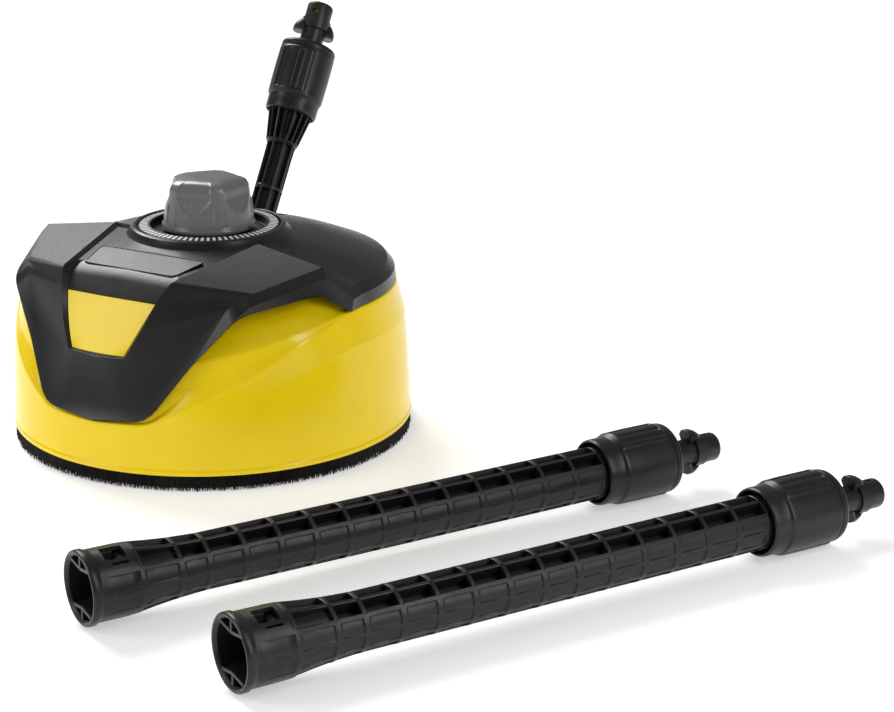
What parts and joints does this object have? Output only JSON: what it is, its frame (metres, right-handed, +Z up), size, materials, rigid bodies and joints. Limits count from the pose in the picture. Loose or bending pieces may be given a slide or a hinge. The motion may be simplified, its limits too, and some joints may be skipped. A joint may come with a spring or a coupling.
{
  "type": "surface cleaner",
  "caption": "Round brush-skirted surface cleaner head with a height knob, tilting lance and plug-in extension wands for a pressure washer.",
  "frame": {"origin": "middle of the kit's footprint, on the floor", "axes": "+Z up; the head's front faces -Y; +X runs from the head towards the wands"},
  "size_m": [0.6558, 0.546, 0.2959],
  "materials": {
    "hood_yellow": "satin moulded yellow",
    "cover_black": "fine-grained black",
    "trim_black": "semi-gloss black",
    "brush_black": "dense black bristle",
    "knob_grey": "smooth mid grey",
    "lance_black": "moulded black",
    "wand_black": "moulded black",
    "sleeve_black": "moulded black with grip ribs",
    "insert_yellow": "yellow insert",
    "steel": "turned or ground",
    "brass": "machined",
    "seal_black": "seal rubber",
    "natural_plastic": "unfilled bearing plastic"
  },
  "bodies": {
    "head": {"hood_shell": "hood_yellow", "top_cover": "cover_black", "name_plate": "trim_black", "front_inlay": "hood_yellow", "scale_ring": "trim_black", "brush_carrier": "trim_black", "bristle_ring": "brush_black", "guide_pin_left": "steel", "guide_pin_right": "steel", "pivot_yoke": "trim_black", "pivot_pin": "steel", "feed_tube": "steel", "cover_screw_1": "steel", "cover_screw_2": "steel", "cover_screw_3": "steel", "cover_screw_4": "steel"},
    "knob": {"adjusting_knob": "knob_grey", "lift_spindle": "steel"},
    "carriage": {"carriage_plate": "natural_plastic", "swivel_housing": "brass", "upper_bearing": "steel", "lower_bearing": "steel", "shaft_seal": "seal_black", "feed_sleeve": "brass", "feed_seal": "seal_black"},
    "rotor": {"rotor_shaft": "steel", "spray_bar": "steel", "hub_nut": "steel", "jet_nozzle_left": "brass", "jet_nozzle_right": "brass"},
    "lance": {"lance_tube": "lance_black", "lance_core_pipe": "steel", "lance_spigot": "lance_black", "spigot_insert": "insert_yellow", "pivot_bush_left": "natural_plastic", "pivot_bush_right": "natural_plastic"},
    "lance_lock": {"lance_sleeve": "sleeve_black"},
    "wand_1": {"wand_1_tube": "wand_black", "wand_1_core_pipe": "steel", "wand_1_coupler": "wand_black", "wand_1_coupler_seal": "seal_black", "wand_1_spigot": "wand_black"},
    "wand_1_lock": {"wand_1_sleeve": "sleeve_black"},
    "wand_2": {"wand_2_tube": "wand_black", "wand_2_core_pipe": "steel", "wand_2_coupler": "wand_black", "wand_2_coupler_seal": "seal_black", "wand_2_spigot": "wand_black"},
    "wand_2_lock": {"wand_2_sleeve": "sleeve_black"}
  },
  "joints": [
    {"name": "knob_turn", "type": "hinge", "parent": "head", "child": "knob", "pos_m": [-0.1814, 0.1097, 0.16], "axis": [0, 0, 1], "range_deg": [0, 270]},
    {"name": "nozzle_height", "type": "slide", "parent": "head", "child": "carriage", "axis": [0, 0, 1], "range_m": [0, 0.01]},
    {"name": "rotor_spin", "type": "hinge", "parent": "carriage", "child": "rotor", "pos_m": [-0.1814, 0.1097, 0.035], "axis": [0, 0, 1], "continuous": true},
    {"name": "lance_tilt", "type": "hinge", "parent": "head", "child": "lance", "pos_m": [-0.1814, 0.1715, 0.136], "axis": [-1, 0, 0], "range_deg": [-15, 30]},
    {"name": "lance_sleeve_turn", "type": "hinge", "parent": "lance", "child": "lance_lock", "pos_m": [-0.1814, 0.1715, 0.136], "axis": [0, 0.515, 0.8572], "range_deg": [0, 90]},
    {"name": "wand_1_lift", "type": "slide", "parent": "head", "child": "wand_1", "axis": [0, 0, 1], "range_m": [0, 0.25]},
    {"name": "wand_1_sleeve_turn", "type": "hinge", "parent": "wand_1", "child": "wand_1_lock", "pos_m": [-0.0353, -0.2335, 0.025], "axis": [0.4756, 0.8796, 0], "range_deg": [0, 90]},
    {"name": "wand_2_lift", "type": "slide", "parent": "head", "child": "wand_2", "axis": [0, 0, 1], "range_m": [0, 0.25]},
    {"name": "wand_2_sleeve_turn", "type": "hinge", "parent": "wand_2", "child": "wand_2_lock", "pos_m": [0.0937, -0.2623, 0.025], "axis": [0.4756, 0.8796, 0], "range_deg": [0, 90]}
  ],
  "couplings": [
    {"joint": "knob_turn", "follows": "nozzle_height", "rad_per_m": 471.2}
  ]
}
